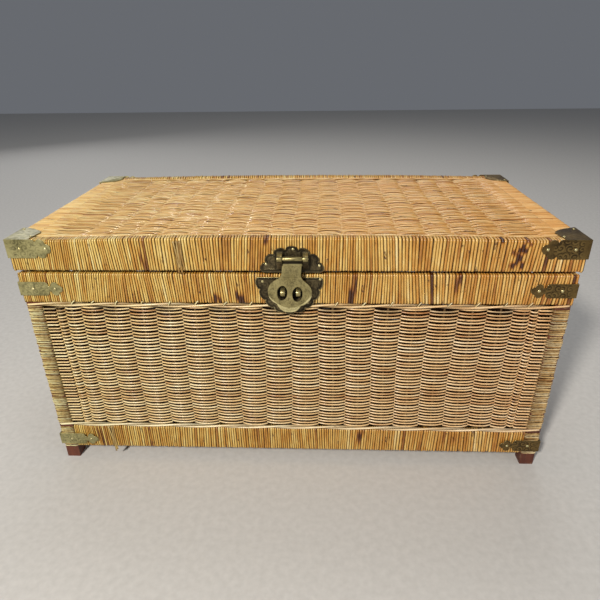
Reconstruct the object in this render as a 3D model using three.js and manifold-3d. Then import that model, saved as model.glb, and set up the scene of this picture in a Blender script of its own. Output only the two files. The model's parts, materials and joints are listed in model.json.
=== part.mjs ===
// Wicker storage trunk: a wooden frame with wrapped rails and woven walls, a hinged lid and a brass hasp.
// Millimetres, +Z up, +X along the length. The front, with the hasp, faces -Y. The trunk stands on z = 0.
import * as THREE from "three";
import { mergeVertices } from "three/addons/utils/BufferGeometryUtils.js";
import Module from "manifold-3d";

const wasm = await Module();
wasm.setup();

// Driving dimensions
const LENGTH = 900; // over the brass corners
const DEPTH = 445; // over the brass corners of the lid, without the hasp and hinges
const HEIGHT = 445;
const GAP = 0.3; // clearance between pieces that touch
const BRASS = 1.2; // sheet thickness of the plates

const LID_HEIGHT = 55;
const LID_RAIL = 19; // thickness of the lid's wrapped rails
const LID_PANEL = 9.5; // thickness of the woven top
const SEAM = 3; // between the lid's lower edge and the body's upper edge
const OVERHANG = 2.5; // of the lid past the body, on each side

const TOP_RAIL_HEIGHT = 53.7;
const TOP_RAIL = 15;
const BOTTOM_RAIL_HEIGHT = 50;
const BOTTOM_RAIL = 14;
const FOOT_HEIGHT = 25;
const POST = 24;
const POST_INSET = 2; // the posts and woven walls lie this far inside the wrapped rails' faces
const WALL = 11; // thickness of a woven wall
const EDGE_RADIUS = 2.6; // on the wrapped rails

const FLOOR_BOARD = 6;
const BEARER = { width: 30, height: 11, spacing: 300 };
const RIB = { width: 20, height: 12, spacing: 225 };

const PIN_RADIUS = 1.8;
const PIN_CLEARANCE = 0.3;
const EYE_WALL = 1.5; // of the rolled eyes and hinge knuckles
const HINGE = {
  offset: 260, // from the middle of the trunk
  width: 62,
  leafHeight: 40,
  knuckle: 18, // width of each of the two body knuckles
  leafDrop: 11, // from the pin to the body leaf
  webDrop: 14,
  neckRise: 3, // of the lid leaf's neck above its knuckle
  sidePlay: 0.5, // between knuckles
  scallops: 5,
  bulge: 4,
};

// Places that follow from the driving dimensions
const LID_X = LENGTH / 2 - BRASS - GAP;
const LID_Y = DEPTH / 2 - BRASS - GAP;
const LID_TOP = HEIGHT - BRASS - GAP;
const LID_BOTTOM = HEIGHT - LID_HEIGHT;
const BODY_X = LID_X - OVERHANG;
const BODY_Y = LID_Y - OVERHANG;
const BODY_TOP = LID_BOTTOM - SEAM;
const TOP_RAIL_BOTTOM = BODY_TOP - TOP_RAIL_HEIGHT;
const BOTTOM_RAIL_TOP = FOOT_HEIGHT + BOTTOM_RAIL_HEIGHT;
const WALL_X = BODY_X - POST_INSET;
const WALL_Y = BODY_Y - POST_INSET;
const POST_X = WALL_X - POST;
const POST_Y = WALL_Y - POST;
const BARREL_RADIUS = PIN_RADIUS + PIN_CLEARANCE + EYE_WALL;
const HINGE_Y = LID_Y + GAP + BARREL_RADIUS;
const HINGE_Z = LID_BOTTOM - SEAM / 2;

// The hasp hangs from a pin in front of the lid. "Reach" is measured out from the lid's brass corners,
// and the hasp's drops and lip are measured from its pin.
const HASP_PIN = { x: 1.5, reach: 11, z: HEIGHT - 27.2 };
const HASP = {
  width: 30, // of the strap part and its rolled eye
  lean: THREE.MathUtils.degToRad(5), // it hangs a little askew
  sheet: 1.6,
  discReach: 10.5, // to the back of its disc
  shoulderDrop: 8,
  bendDrop: 30,
  lipDrop: 80,
  lipEndDrop: 95,
  lipDepth: 3,
  hole: { side: 12, drop: 58.4, halfWidth: 8.2, halfHeight: 13 },
};
const EAR = { width: 7.5, nose: 5.2, drop: 20, clearance: 1.2 }; // the cheeks beside the hasp's eye
const PIN_HEAD = 0.6; // how far a pin stands out past its eyes
const LID_PLATE = { low: LID_BOTTOM + 1, halfWidth: 45.5, height: 38.5, scallops: 7, bulge: 6.5 };
const CATCH_PLATE = {
  x: -5,
  top: HEIGHT - 63.6,
  halfWidth: 50.5,
  height: 61.5,
  scallops: 9,
  bulge: 5,
};
const STAPLE = { centres: [-14.5, 10], width: 6.5, height: 10.5, z: HEIGHT - 82.5, reach: 20 };
const STAPLE_EYE = { depth: 4.9, halfWidth: 2.9, halfHeight: 3.4 }; // depth is in from the nose

const STRAP = { bar: 49, neck: 5, length: 72 }; // one leg of a corner strap
const LEAF = { front: 37, tip: { x: 42, y: 35 }, side: 62 }; // the plate on top of a lid corner
const LID_STRAP_HEIGHT = 31;
const BODY_STRAP_HEIGHT = 24;
const UPPER_STRAP_DROP = 15.5; // below the body's upper edge
const LOWER_STRAP_RISE = 9; // above the lower rail's lower edge

const FRONT_Y = -DEPTH / 2;
const FRONT_REACH = DEPTH / 2 + STAPLE.reach;
const REAR_REACH = HINGE_Y + BARREL_RADIUS;
const FRAME_SHIFT = (FRONT_REACH - REAR_REACH) / 2; // puts the origin under the middle of the whole box

const wrappedReed = new THREE.MeshStandardMaterial({ color: 0xbf8a45, roughness: 0.55, metalness: 0 });
const wovenReed = new THREE.MeshStandardMaterial({ color: 0xd2a566, roughness: 0.6, metalness: 0 });
const stainedWood = new THREE.MeshStandardMaterial({ color: 0x84452a, roughness: 0.6, metalness: 0 });
const plainWood = new THREE.MeshStandardMaterial({ color: 0xb08a5a, roughness: 0.75, metalness: 0 });
const agedBrass = new THREE.MeshStandardMaterial({ color: 0x7f7545, roughness: 0.42, metalness: 1 });

const trunk = new THREE.Group();
trunk.position.y = FRAME_SHIFT;

function addPiece(name, geometry, material) {
  const mesh = new THREE.Mesh(geometry, material);
  mesh.name = name;
  trunk.add(mesh);
}

// Solids from geometries, joined and cut

function indexed(geometry) {
  const bare = geometry.clone();
  bare.deleteAttribute("normal");
  bare.deleteAttribute("uv");
  return mergeVertices(bare, 1e-4);
}

function solidOf(geometry) {
  const merged = indexed(geometry);
  return new wasm.Manifold(
    new wasm.Mesh({
      numProp: 3,
      vertProperties: new Float32Array(merged.attributes.position.array),
      triVerts: new Uint32Array(merged.index.array),
    }),
  );
}

function geometryOf(solid) {
  const mesh = solid.getMesh();
  const geometry = new THREE.BufferGeometry();
  geometry.setAttribute("position", new THREE.BufferAttribute(mesh.vertProperties, 3));
  geometry.setIndex(new THREE.BufferAttribute(mesh.triVerts, 1));
  geometry.computeVertexNormals();
  return geometry;
}

// The geometry under a matrix that may mirror it, with its faces still outward.
function transformed(geometry, matrix) {
  const placed = indexed(geometry).applyMatrix4(matrix);
  if (matrix.determinant() < 0) {
    const order = placed.index.array;
    for (let i = 0; i < order.length; i += 3) {
      [order[i], order[i + 1]] = [order[i + 1], order[i]];
    }
  }
  placed.computeVertexNormals();
  return placed;
}

function join(...geometries) {
  const solids = geometries.map(solidOf);
  return geometryOf(solids.reduce((whole, part) => whole.add(part)));
}

function cut(geometry, ...tools) {
  return geometryOf(tools.map(solidOf).reduce((whole, tool) => whole.subtract(tool), solidOf(geometry)));
}

function common(a, b) {
  return geometryOf(solidOf(a).intersect(solidOf(b)));
}

function box(lowX, highX, lowY, highY, lowZ, highZ) {
  const geometry = new THREE.BoxGeometry(highX - lowX, highY - lowY, highZ - lowZ);
  return geometry.translate((lowX + highX) / 2, (lowY + highY) / 2, (lowZ + highZ) / 2);
}

function extrude(shape, depth, curveSegments = 10) {
  return new THREE.ExtrudeGeometry(shape, { depth, bevelEnabled: false, curveSegments });
}

// A shape drawn in (x, z) and given thickness along y, from lowY up.
function standing(shape, lowY, thickness, curveSegments) {
  return extrude(shape, thickness, curveSegments)
    .rotateX(Math.PI / 2)
    .translate(0, lowY + thickness, 0);
}

// A shape drawn in (y, z) and given a width along x, from lowX up.
function sideways(shape, lowX, width, curveSegments) {
  const turn = new THREE.Matrix4().makeBasis(
    new THREE.Vector3(0, 1, 0),
    new THREE.Vector3(0, 0, 1),
    new THREE.Vector3(1, 0, 0),
  );
  return extrude(shape, width, curveSegments).applyMatrix4(turn).translate(lowX, 0, 0);
}

function disc(x, z, radius) {
  return new THREE.Shape().absarc(x, z, radius, 0, 2 * Math.PI, false);
}

function roundedRectangle(lowY, highY, lowZ, highZ, r) {
  return new THREE.Shape()
    .moveTo(lowY + r, lowZ)
    .lineTo(highY - r, lowZ)
    .absarc(highY - r, lowZ + r, r, -Math.PI / 2, 0, false)
    .lineTo(highY, highZ - r)
    .absarc(highY - r, highZ - r, r, 0, Math.PI / 2, false)
    .lineTo(lowY + r, highZ)
    .absarc(lowY + r, highZ - r, r, Math.PI / 2, Math.PI, false)
    .lineTo(lowY, lowZ + r)
    .absarc(lowY + r, lowZ + r, r, Math.PI, 1.5 * Math.PI, false);
}

// A rail along x on the -y side of a frame, with its ends mitred inwards at 45 degrees.
function mitredRail(halfLength, halfDepth, thickness, lowZ, highZ) {
  const profile = roundedRectangle(-halfDepth, thickness - halfDepth, lowZ, highZ, EDGE_RADIUS);
  const rail = sideways(profile, -halfLength, 2 * halfLength, 3);
  const places = rail.attributes.position;
  for (let i = 0; i < places.count; i++) {
    const inset = places.getY(i) + halfDepth + GAP / 2;
    places.setX(i, Math.sign(places.getX(i)) * (halfLength - inset));
  }
  return rail;
}

// The four mitred rails of one rectangular frame.
function addRailFrame(prefix, halfX, halfY, thickness, lowZ, highZ) {
  const front = mitredRail(halfX, halfY, thickness, lowZ, highZ);
  const left = mitredRail(halfY, halfX, thickness, lowZ, highZ).rotateZ(-Math.PI / 2);
  addPiece(`${prefix}_front`, front, wrappedReed);
  addPiece(`${prefix}_rear`, front.clone().rotateZ(Math.PI), wrappedReed);
  addPiece(`${prefix}_left`, left, wrappedReed);
  addPiece(`${prefix}_right`, left.clone().rotateZ(Math.PI), wrappedReed);
}

// The four corners, each as a name and the signs of its x and y
const CORNERS = [
  ["front_left", -1, -1],
  ["front_right", 1, -1],
  ["rear_left", -1, 1],
  ["rear_right", 1, 1],
];

// Copies a geometry made for the front left corner to every corner, as a piece each.
function addAtCorners(prefix, geometry, material) {
  for (const [name, signX, signY] of CORNERS) {
    const placed = transformed(geometry, new THREE.Matrix4().makeScale(-signX, -signY, 1));
    addPiece(`${prefix}_${name}`, placed, material);
  }
}

function addBodyFrame() {
  const post = box(-WALL_X, -POST_X, -WALL_Y, -POST_Y, 0, TOP_RAIL_BOTTOM - GAP);
  addAtCorners("post", post, stainedWood);
  addRailFrame("top_rail", BODY_X, BODY_Y, TOP_RAIL, TOP_RAIL_BOTTOM, BODY_TOP);
}

// The lower rails and the woven walls fill the spaces between the posts.
function addBetweenPosts(prefix, thickness, lowZ, highZ, material) {
  const frontX = POST_X - GAP;
  const sideY = POST_Y - GAP;
  const front = box(-frontX, frontX, -WALL_Y, thickness - WALL_Y, lowZ, highZ);
  const left = box(-WALL_X, thickness - WALL_X, -sideY, sideY, lowZ, highZ);
  addPiece(`${prefix}_front`, front, material);
  addPiece(`${prefix}_rear`, front.clone().rotateZ(Math.PI), material);
  addPiece(`${prefix}_left`, left, material);
  addPiece(`${prefix}_right`, left.clone().rotateZ(Math.PI), material);
}

// Three bars across the frame from front to back, under a panel.
function addCrossBars(prefix, { width, height, spacing }, halfY, topZ) {
  ["left", "middle", "right"].forEach((name, i) => {
    const x = (i - 1) * spacing;
    const bar = box(x - width / 2, x + width / 2, -halfY, halfY, topZ - height, topZ);
    addPiece(`${prefix}_${name}`, bar, plainWood);
  });
}

// The floor board is notched round the posts and lies on bearers between the lower rails.
function addFloor() {
  const halfX = WALL_X - BOTTOM_RAIL - GAP;
  const halfY = WALL_Y - BOTTOM_RAIL - GAP;
  const bearerTop = FOOT_HEIGHT + GAP + BEARER.height;
  const boardLow = bearerTop + GAP;
  const boardHigh = boardLow + FLOOR_BOARD;
  const long = box(-halfX, halfX, GAP - POST_Y, POST_Y - GAP, boardLow, boardHigh);
  const wide = box(GAP - POST_X, POST_X - GAP, -halfY, halfY, boardLow, boardHigh);
  addPiece("floor_board", join(long, wide), plainWood);
  addCrossBars("floor_bearer", BEARER, halfY, bearerTop);
}

function addLidFrame() {
  addRailFrame("lid_rail", LID_X, LID_Y, LID_RAIL, LID_BOTTOM, LID_TOP);
  const halfX = LID_X - LID_RAIL - GAP;
  const halfY = LID_Y - LID_RAIL - GAP;
  const panelLow = LID_TOP - LID_PANEL;
  addPiece("lid_woven_top", box(-halfX, halfX, -halfY, halfY, panelLow, LID_TOP), wovenReed);
  addCrossBars("lid_rib", RIB, halfY, panelLow - GAP);
}

// Corner straps and caps

// One leg of a strap, along +x from x = 0, with its back on y = 0: a bar, a neck and a trefoil.
function strapLeg(lowZ, highZ) {
  const middle = (lowZ + highZ) / 2;
  const half = (highZ - lowZ) / 2;
  const { bar, neck, length } = STRAP;
  const lobe = half * 0.52;
  const lobesX = length - 2 * lobe;
  const outline = new THREE.Shape()
    .moveTo(0, lowZ)
    .lineTo(bar - neck, lowZ)
    .quadraticCurveTo(bar, lowZ + 1, bar, middle - neck)
    .lineTo(lobesX, middle - neck / 2)
    .lineTo(lobesX, middle + neck / 2)
    .lineTo(bar, middle + neck)
    .quadraticCurveTo(bar, highZ - 1, bar - neck, highZ)
    .lineTo(0, highZ);
  const shapes = [
    outline,
    disc(length - lobe, middle, lobe),
    disc(lobesX, highZ - lobe, lobe),
    disc(lobesX, lowZ + lobe, lobe),
  ];
  return join(...shapes.map((shape) => standing(shape, -BRASS, BRASS, 6)));
}

// Two legs that meet round the front left corner of a frame of the given half sizes.
function cornerStrap(halfX, halfY, lowZ, highZ) {
  const leg = strapLeg(lowZ, highZ);
  const front = leg.clone().translate(-halfX - GAP - BRASS, -halfY - GAP, 0);
  const swapXY = new THREE.Matrix4().set(0, 1, 0, 0, 1, 0, 0, 0, 0, 0, 1, 0, 0, 0, 0, 1);
  const side = transformed(leg, swapXY).translate(-halfX - GAP, -halfY - GAP - BRASS, 0);
  return join(front, side);
}

// The leaf-shaped plate that a lid corner has on top, with one rounded edge towards the weave.
function lidCornerLeaf() {
  const { front, tip, side } = LEAF;
  const outline = new THREE.Shape()
    .moveTo(0, 0)
    .lineTo(front, 0)
    .lineTo(tip.x, tip.y)
    .quadraticCurveTo(tip.x * 0.84, side * 0.84, 0, side);
  return extrude(outline, BRASS, 8).translate(-LID_X - GAP - BRASS, -LID_Y - GAP - BRASS, LID_TOP + GAP);
}

function addCornerBrass() {
  const lidStrap = cornerStrap(LID_X, LID_Y, HEIGHT - LID_STRAP_HEIGHT, HEIGHT);
  addAtCorners("lid_corner", join(lidStrap, lidCornerLeaf()), agedBrass);
  const upperLow = BODY_TOP - UPPER_STRAP_DROP - BODY_STRAP_HEIGHT;
  const upper = cornerStrap(BODY_X, BODY_Y, upperLow, upperLow + BODY_STRAP_HEIGHT);
  addAtCorners("upper_strap", upper, agedBrass);
  const lowerLow = FOOT_HEIGHT + LOWER_STRAP_RISE;
  const lower = cornerStrap(BODY_X, BODY_Y, lowerLow, lowerLow + BODY_STRAP_HEIGHT);
  addAtCorners("lower_strap", lower, agedBrass);
}

// The hasp, its plates and its staples

// Half an ellipse below (or, with up = 1, above) a straight edge at z, edged with equal scallops that
// stand out by bulge past their notches.
function scallopedPlate(x, z, halfWidth, height, scallops, bulge, up) {
  const notch = (i) => {
    const angle = (Math.PI * i) / scallops;
    return [x + halfWidth * Math.cos(angle), z + up * height * Math.sin(angle)];
  };
  const outline = new THREE.Shape().moveTo(...notch(0));
  for (let i = 1; i <= scallops; i++) {
    const [fromX, fromZ] = notch(i - 1);
    const [toX, toZ] = notch(i);
    const middle = (Math.PI * (i - 0.5)) / scallops;
    const pullX = (4 / 3) * bulge * Math.cos(middle);
    const pullZ = (4 / 3) * bulge * Math.sin(middle) * up;
    outline.bezierCurveTo(fromX + pullX, fromZ + pullZ, toX + pullX, toZ + pullZ, toX, toZ);
  }
  return outline;
}

function reachY(reach) {
  return FRONT_Y - reach;
}

// A cheek beside the hasp's pin: a rounded nose round the pin that runs down to the plate.
function ear(lowX) {
  const plateY = FRONT_Y + BRASS / 2;
  const { z } = HASP_PIN;
  const outline = new THREE.Shape()
    .moveTo(plateY, z - EAR.drop)
    .lineTo(plateY, z + EAR.nose + 1)
    .lineTo(reachY(HASP_PIN.reach), z + EAR.nose)
    .absarc(reachY(HASP_PIN.reach), z, EAR.nose, Math.PI / 2, Math.PI * 1.15, false)
    .lineTo(plateY - 3, z - EAR.drop);
  return sideways(outline, lowX, EAR.width, 6);
}

function pinHole(y, z, lowX, highX) {
  return sideways(disc(y, z, PIN_RADIUS + PIN_CLEARANCE), lowX, highX - lowX, 8);
}

function addLidHaspPlate() {
  const { low, halfWidth, height, scallops, bulge } = LID_PLATE;
  const outline = scallopedPlate(0, low, halfWidth, height, scallops, bulge, 1);
  const plate = standing(outline, FRONT_Y, BRASS, 6);
  const { x, reach, z } = HASP_PIN;
  const earX = HASP.width / 2 + EAR.clearance;
  const withEars = join(plate, ear(x - earX - EAR.width), ear(x + earX));
  const holes = pinHole(reachY(reach), z, x - 2 * HASP.width, x + 2 * HASP.width);
  addPiece("lid_hasp_plate", cut(withEars, holes), agedBrass);
  const pinHalf = earX + EAR.width + PIN_HEAD;
  const pin = sideways(disc(reachY(reach), z, PIN_RADIUS), x - pinHalf, 2 * pinHalf, 8);
  addPiece("hasp_pin", pin, agedBrass);
}

// The hasp's front outline, below its pin: a strap that widens to a disc, with a tongue below.
function haspOutline() {
  const half = HASP.width / 2;
  const { side, drop, halfWidth, halfHeight } = HASP.hole;
  const outline = new THREE.Shape()
    .moveTo(-half, -2)
    .lineTo(-half, -24)
    .bezierCurveTo(-half, -33, -22, -35, -27.5, -40)
    .bezierCurveTo(-33, -45, -34.5, -50, -34.5, -57)
    .bezierCurveTo(-34.5, -67, -29, -74, -19, -78)
    .bezierCurveTo(-16, -86, -9, -90, 0, -90)
    .bezierCurveTo(9, -90, 16, -86, 19, -78)
    .bezierCurveTo(29, -74, 34.5, -67, 34.5, -57)
    .bezierCurveTo(34.5, -50, 33, -45, 27.5, -40)
    .bezierCurveTo(22, -35, half, -33, half, -24)
    .lineTo(half, -2);
  for (const sign of [-1, 1]) {
    const hole = new THREE.Path();
    hole.absellipse(sign * side, -drop, halfWidth, halfHeight, 0, 2 * Math.PI, false, 0);
    outline.holes.push(hole);
  }
  return outline;
}

// Seen from the side, the sheet leaves the back of its rolled eye, comes forward and ends in a lip.
function haspSideProfile() {
  const back = reachY(HASP_PIN.reach) + BARREL_RADIUS;
  const front = reachY(HASP.discReach);
  const { z } = HASP_PIN;
  const { sheet, shoulderDrop, bendDrop, lipDrop, lipEndDrop, lipDepth } = HASP;
  return new THREE.Shape()
    .moveTo(back - sheet, z)
    .lineTo(back - sheet, z - shoulderDrop)
    .lineTo(front - sheet, z - bendDrop)
    .lineTo(front - sheet, z - lipDrop)
    .lineTo(front - sheet - lipDepth, z - lipEndDrop)
    .lineTo(front - lipDepth, z - lipEndDrop)
    .lineTo(front, z - lipDrop)
    .lineTo(front, z - bendDrop)
    .lineTo(back, z - shoulderDrop)
    .lineTo(back, z);
}

function addHasp() {
  const { x, reach, z } = HASP_PIN;
  const low = x - HASP.width / 2;
  const wide = 2 * HASP.width;
  const turn = new THREE.Matrix4().makeRotationY(HASP.lean);
  const blank = standing(haspOutline(), -wide / 2, wide, 8);
  const leaning = transformed(blank, turn).translate(x, reachY(reach), z);
  const sheet = common(leaning, sideways(haspSideProfile(), x - wide, 2 * wide, 2));
  const upright = sideways(haspSideProfile(), low, HASP.width, 2);
  const eyeZone = box(x - wide, x + wide, reachY(wide), reachY(0), z - 12, z + 5);
  const eye = sideways(disc(reachY(reach), z, BARREL_RADIUS), low, HASP.width, 8);
  const whole = join(cut(sheet, eyeZone), common(upright, eyeZone), eye);
  const bore = pinHole(reachY(reach), z, x - HASP.width, x + HASP.width);
  addPiece("hasp", cut(whole, bore), agedBrass);
}

function addBodyHaspPlate() {
  const { x, top, halfWidth, height, scallops, bulge } = CATCH_PLATE;
  const outline = scallopedPlate(x, top, halfWidth, height, scallops, bulge, -1);
  addPiece("catch_plate", standing(outline, -BODY_Y - GAP - BRASS, BRASS, 6), agedBrass);
}

// A staple is an upright lug with a cross hole for a padlock bar, on the catch plate.
function addStaples() {
  const { centres, width, height, z, reach } = STAPLE;
  const { depth, halfWidth, halfHeight } = STAPLE_EYE;
  const backY = -BODY_Y - 2 * GAP - BRASS;
  const half = height / 2;
  const outline = new THREE.Shape()
    .moveTo(backY, z + half)
    .lineTo(backY, z - half)
    .lineTo(reachY(reach - half), z - half)
    .absarc(reachY(reach - half), z, half, 1.5 * Math.PI, Math.PI / 2, true);
  const eye = new THREE.Path();
  eye.absellipse(reachY(reach - depth), z, halfWidth, halfHeight, 0, 2 * Math.PI, false, 0);
  outline.holes.push(eye);
  centres.forEach((x, i) => {
    const name = ["left", "right"][i];
    addPiece(`staple_${name}`, sideways(outline, x - width / 2, width, 10), agedBrass);
  });
}

// Rear hinges: each has a leaf on the body with two knuckles, a leaf on the lid with one, and a pin.

function knuckle(lowX, highX) {
  return sideways(disc(HINGE_Y, HINGE_Z, BARREL_RADIUS), lowX, highX - lowX, 6);
}

// A slanted web from the body leaf's face out to the knuckle.
function bodyWeb(lowX, highX) {
  const leafBack = BODY_Y + GAP;
  const outline = new THREE.Shape()
    .moveTo(leafBack, HINGE_Z - HINGE.webDrop)
    .lineTo(leafBack + BRASS, HINGE_Z - HINGE.webDrop)
    .lineTo(HINGE_Y + BARREL_RADIUS, HINGE_Z)
    .lineTo(HINGE_Y - BARREL_RADIUS, HINGE_Z);
  return sideways(outline, lowX, highX - lowX, 4);
}

function hingeBodyLeaf(x) {
  const { width, leafHeight, leafDrop, knuckle: knuckleWidth, scallops, bulge } = HINGE;
  const half = width / 2;
  const height = leafHeight - leafDrop;
  const outline = scallopedPlate(x, HINGE_Z - leafDrop, half, height, scallops, bulge, -1);
  const ends = [x - half, x + half - knuckleWidth];
  return join(
    standing(outline, BODY_Y + GAP, BRASS, 4),
    ...ends.map((low) => bodyWeb(low, low + knuckleWidth)),
    ...ends.map((low) => knuckle(low, low + knuckleWidth)),
  );
}

function hingeLidLeaf(x) {
  const { width, leafHeight, knuckle: knuckleWidth, neckRise, sidePlay, scallops, bulge } = HINGE;
  const neckHalf = width / 2 - knuckleWidth - sidePlay;
  const barrelTop = HINGE_Z + BARREL_RADIUS;
  const outline = scallopedPlate(x, barrelTop + 1, width / 2, leafHeight, scallops, bulge, 1);
  const backY = LID_Y + GAP;
  return join(
    standing(outline, backY, BRASS, 4),
    box(x - neckHalf, x + neckHalf, backY, backY + BRASS, HINGE_Z, barrelTop + neckRise),
    knuckle(x - neckHalf, x + neckHalf),
  );
}

function addHinge(name, x) {
  const half = HINGE.width / 2;
  const bore = pinHole(HINGE_Y, HINGE_Z, x - 2 * half, x + 2 * half);
  addPiece(`hinge_${name}_body_leaf`, cut(hingeBodyLeaf(x), bore), agedBrass);
  addPiece(`hinge_${name}_lid_leaf`, cut(hingeLidLeaf(x), bore), agedBrass);
  const pinHalf = half + PIN_HEAD;
  const pin = sideways(disc(HINGE_Y, HINGE_Z, PIN_RADIUS), x - pinHalf, 2 * pinHalf, 8);
  addPiece(`hinge_${name}_pin`, pin, agedBrass);
}

addBodyFrame();
addBetweenPosts("bottom_rail", BOTTOM_RAIL, FOOT_HEIGHT, BOTTOM_RAIL_TOP, wrappedReed);
addBetweenPosts("woven_wall", WALL, BOTTOM_RAIL_TOP + GAP, TOP_RAIL_BOTTOM - GAP, wovenReed);
addFloor();
addLidFrame();
addCornerBrass();
addLidHaspPlate();
addHasp();
addBodyHaspPlate();
addStaples();
addHinge("left", -HINGE.offset);
addHinge("right", HINGE.offset);

export default trunk;
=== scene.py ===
"""Looks of a wicker storage trunk: woven walls and lid, reed-wrapped rails, aged brass, dark feet."""
import json
import math

import bmesh
import bpy
import numpy as np
from mathutils import Matrix, Vector
from mathutils.geometry import delaunay_2d_cdt

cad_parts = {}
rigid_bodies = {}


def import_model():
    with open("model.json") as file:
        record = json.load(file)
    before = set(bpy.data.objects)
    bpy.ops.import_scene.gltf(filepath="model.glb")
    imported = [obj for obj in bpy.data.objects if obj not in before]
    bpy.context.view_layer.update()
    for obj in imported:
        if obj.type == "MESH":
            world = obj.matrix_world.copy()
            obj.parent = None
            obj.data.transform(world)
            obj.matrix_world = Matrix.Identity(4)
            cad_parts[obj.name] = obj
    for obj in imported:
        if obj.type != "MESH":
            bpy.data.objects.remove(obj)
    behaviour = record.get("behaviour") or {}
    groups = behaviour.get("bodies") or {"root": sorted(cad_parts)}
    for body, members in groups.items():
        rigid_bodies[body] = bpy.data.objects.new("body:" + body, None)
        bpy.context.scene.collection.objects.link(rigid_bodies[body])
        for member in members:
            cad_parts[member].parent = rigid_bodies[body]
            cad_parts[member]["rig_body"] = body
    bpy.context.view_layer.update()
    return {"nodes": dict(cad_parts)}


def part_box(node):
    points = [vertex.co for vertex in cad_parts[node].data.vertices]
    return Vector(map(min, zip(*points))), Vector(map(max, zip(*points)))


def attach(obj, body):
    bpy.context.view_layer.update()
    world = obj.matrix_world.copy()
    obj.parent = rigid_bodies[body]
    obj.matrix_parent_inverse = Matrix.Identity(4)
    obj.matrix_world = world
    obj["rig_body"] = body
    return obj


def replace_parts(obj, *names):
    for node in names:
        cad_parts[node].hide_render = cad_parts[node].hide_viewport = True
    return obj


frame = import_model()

MM = 0.001  # lengths below are millimetres unless they say metres

BODY = "trunk_body"
LID = "lid"
CORNERS = ("front_left", "front_right", "rear_left", "rear_right")

# Woven walls and lid
ROW_PITCH = 3.05  # from one weaver to the next, up a wall
WEAVER = 1.4  # radius
LID_WEAVER = 1.45  # radius
END_STRAND = 1.5  # radius, where the lid's weavers lie flat
END_BEND = 3.5  # radius of their bends round the lid's ends
STAKE = 2.2  # radius
STAKE_END = 1.7  # radius, where a stake is cut off above the wall
SHADE_STRAND = 1.4  # radius of the straight strands deep in the weave, which close it and are painted as shade
RIB_INSET = 27  # from the end of a wall to its outermost stake
RIB_GAP = 21  # from there to the next stake
CROSSING = 1.3  # above 1, weavers stay flat at the stakes and cross between them more steeply
FRONT_STAKE_GAPS = (34, 40, 45, 44, 44, 47, 45, 44, 47, 48, 45, 44, 44, 46, 46, 45, 39)
SIDE_STAKE_GAPS = (40, 47, 47, 48, 47, 47, 40)
LID_HALF_STAKES = (20, 60, 101, 147, 192, 235, 277, 313, 357, 400)  # from the middle outwards
RAIL_CROWN = 4.2  # how far the lid's front and rear rails arch up
WEAVE_CROWN = 1.4  # how far its weave does
CROWN_HALF = 372  # half the length of the arch
LID_PROUD = 2.2  # how far the lid's rails stand above its weave
LID_REACH = 2.3  # how far up and down the lid's weavers go
LID_END_COVER = 48  # how far in from the lid's ends the weavers lie flat
FRONT_COVER = 20  # how far back from the lid's front face the wraps reach

# Ropes of long twisted strands above and below each wall, and along the lid's weave
WALE_HEIGHT = 7.2
WALE_STRAND = 1.85  # radius
WALE_TURN = 186  # length of one turn
WALE_GAP = 1.3  # between the upper wale and the weaver below it
BORDER_STRAND = 1.7  # radius
BORDER_TURN = 110

# Wraps on the rails and posts
LID_PITCH = 4.3  # from one wrap to the next
BAND_PITCH = 4.05
FOOT_PITCH = 4.2
WRAP_THICK = 1.7  # half thickness
WRAP_BEND = 2.2  # radius of a wrap's corners
POST_WRAP = 1.55  # half thickness
SEAM = 1.2  # how much of the lid's lower edge the wraps leave bare
RAIL_TONE = 0.42  # the wraps' middle shade, from pale at 0 to dark at 1

# Dark patches on wraps: place along the rail, reach either way, level as a share of the height, height
STAINS = {
    "lid_rail_front": (
        (347, 13, 0.15, 0.09),
        (345, 11, -0.2, 0.1),
        (352, 9, 0.38, 0.07),
        (318, 4, 0.3, 0.06),
        (-40, 5, 0.42, 0.1),
        (-236, 4, -0.3, 0.2),
    ),
    "top_rail_front": (
        (-125, 9, -0.3, 0.15),
        (-85, 9, -0.3, 0.2),
        (95, 6, -0.2, 0.3),
        (260, 5, 0.2, 0.3),
    ),
    "bottom_rail_front": ((-372, 5, 0, 0.6), (120, 8, 0.2, 0.3)),
}

# Wraps that have worked loose: place along the rail, and how far each reaches above and below it
LOOSE_ON_LID = (-184, ((1.2, 1), (1.4, -8), (0.6, 2), (1.0, -4)))
LOOSE_ON_FOOT = (-352, ((-1, -2), (-2, 9), (-1, 5)))

# Brass
SHEET_EDGE = 0.35  # radius of a brass sheet's worn edges
NET_SPACING = 0.95  # between points of the embossed faces
NAIL = 2.4  # radius of a nail's head
SMALL_NAIL = 2.2
STRAP_NAILS = {"lid_corner": (22.0, 63.0), "upper_strap": (23.5, 59.5), "lower_strap": (22.0, 59.0)}
LEAF_NAILS = ((36, 16), (6, 52))  # on a lid corner's top leaf, from its outer corner
PLATE_NAILS = {  # from the middle of a plate, and up from its lower edge
    "lid_hasp_plate": ((-40.5, 14.3), (42.8, 11.6), (2.1, 38.8)),
    "catch_plate": ((-42.5, 58.566), (49.1, 62.466)),
}
HASP_DISC = 37.0  # from the hasp's lower end up to the middle of its disc
HASP_SHADE = 24  # how far round there a painted shadow of the hasp darkens the catch plate
NECK_SHADOW = (-6.5, -0.5)  # painted shadow on the hasp's neck under its rolled eye, from the pin's underside
TONGUE_HEIGHT = 13  # of the hasp's worn tongue
TONGUE_HALF = 18

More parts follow.
